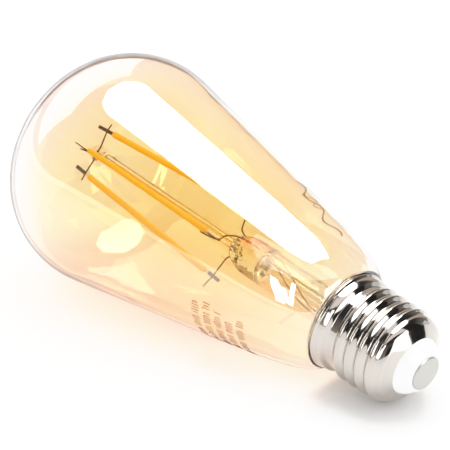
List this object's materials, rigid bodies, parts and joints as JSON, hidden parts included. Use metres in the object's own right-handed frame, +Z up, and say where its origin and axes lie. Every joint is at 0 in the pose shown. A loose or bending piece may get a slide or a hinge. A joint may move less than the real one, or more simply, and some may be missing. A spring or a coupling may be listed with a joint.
{
  "type": "smart light bulb",
  "caption": "Pear-shaped amber glass filament lamp with a screw cap; four slim LED filaments stand round a glass pillar, and a small wireless driver sits in the cap.",
  "frame": {"origin": "centre of the bounding box's base, on the table that the lamp lies on", "axes": "+Z up from the table, +X towards the cap's centre contact, the lamp's own axis lies in the XZ plane and dips 10.3 degrees towards +X"},
  "size_m": [0.1372, 0.064, 0.0638],
  "materials": {
    "amber_glass": "amber tinted clear glass, gloss",
    "clear_glass": "clear glass, gloss",
    "phosphor": "yellow-orange phosphor silicone, satin",
    "substrate": "white ceramic strip",
    "led_chip": "blue LED dice",
    "dark_metal": "dark nickel-plated strip",
    "support_wire": "drawn nickel wire, dull",
    "dumet": "red copper-clad wire",
    "copper": "bare copper",
    "nickel_shell": "bright nickel-plated sheet",
    "white_insulator": "white vitrified insulator, gloss",
    "contact_metal": "satin contact metal",
    "cement": "capping cement",
    "circuit_board": "green solder mask",
    "radio_board": "blue solder mask",
    "black_part": "moulded epoxy",
    "capacitor_can": "drawn aluminium can",
    "sleeve_film": "shrunk film",
    "ferrite": "ferrite",
    "resistor_body": "cement-coated resistor",
    "varistor": "dipped epoxy",
    "tin_plate": "tinned steel",
    "gold_plate": "gold flash",
    "ceramic_cap": "tan ceramic",
    "white_sleeve": "glass-fibre sleeving",
    "red_wire": "PVC insulated wire",
    "black_wire": "PVC insulated wire"
  },
  "bodies": {
    "root": {"glass_envelope": "amber_glass", "stem_flare": "clear_glass", "exhaust_tube": "clear_glass", "glass_pillar": "clear_glass", "filament_1": "phosphor", "filament_2": "phosphor", "filament_3": "phosphor", "filament_4": "phosphor", "substrate_1": "substrate", "substrate_2": "substrate", "substrate_3": "substrate", "substrate_4": "substrate", "led_row_1": "led_chip", "led_row_2": "led_chip", "led_row_3": "led_chip", "led_row_4": "led_chip", "end_tabs_1": "dark_metal", "end_tabs_2": "dark_metal", "end_tabs_3": "dark_metal", "end_tabs_4": "dark_metal", "top_link_1": "support_wire", "top_link_2": "support_wire", "inner_lead_1": "support_wire", "inner_lead_2": "support_wire", "lower_link": "support_wire", "dumet_seals": "dumet", "outer_leads": "copper", "lead_sleeves": "white_sleeve", "screw_shell": "nickel_shell", "insulator": "white_insulator", "centre_contact": "contact_metal", "cement_ring": "cement", "driver_board": "circuit_board", "bridge_rectifier": "black_part", "bulk_capacitor": "capacitor_can", "capacitor_sleeve": "sleeve_film", "choke_core": "ferrite", "choke_winding": "copper", "fusible_resistor": "resistor_body", "driver_chip": "black_part", "varistor": "varistor", "radio_board": "radio_board", "radio_chip": "black_part", "radio_shield": "tin_plate", "crystal": "tin_plate", "radio_pins": "gold_plate", "antenna": "gold_plate", "smd_resistors": "black_part", "smd_capacitors": "ceramic_cap", "live_wire": "red_wire", "neutral_wire": "black_wire"}
  },
  "joints": []
}
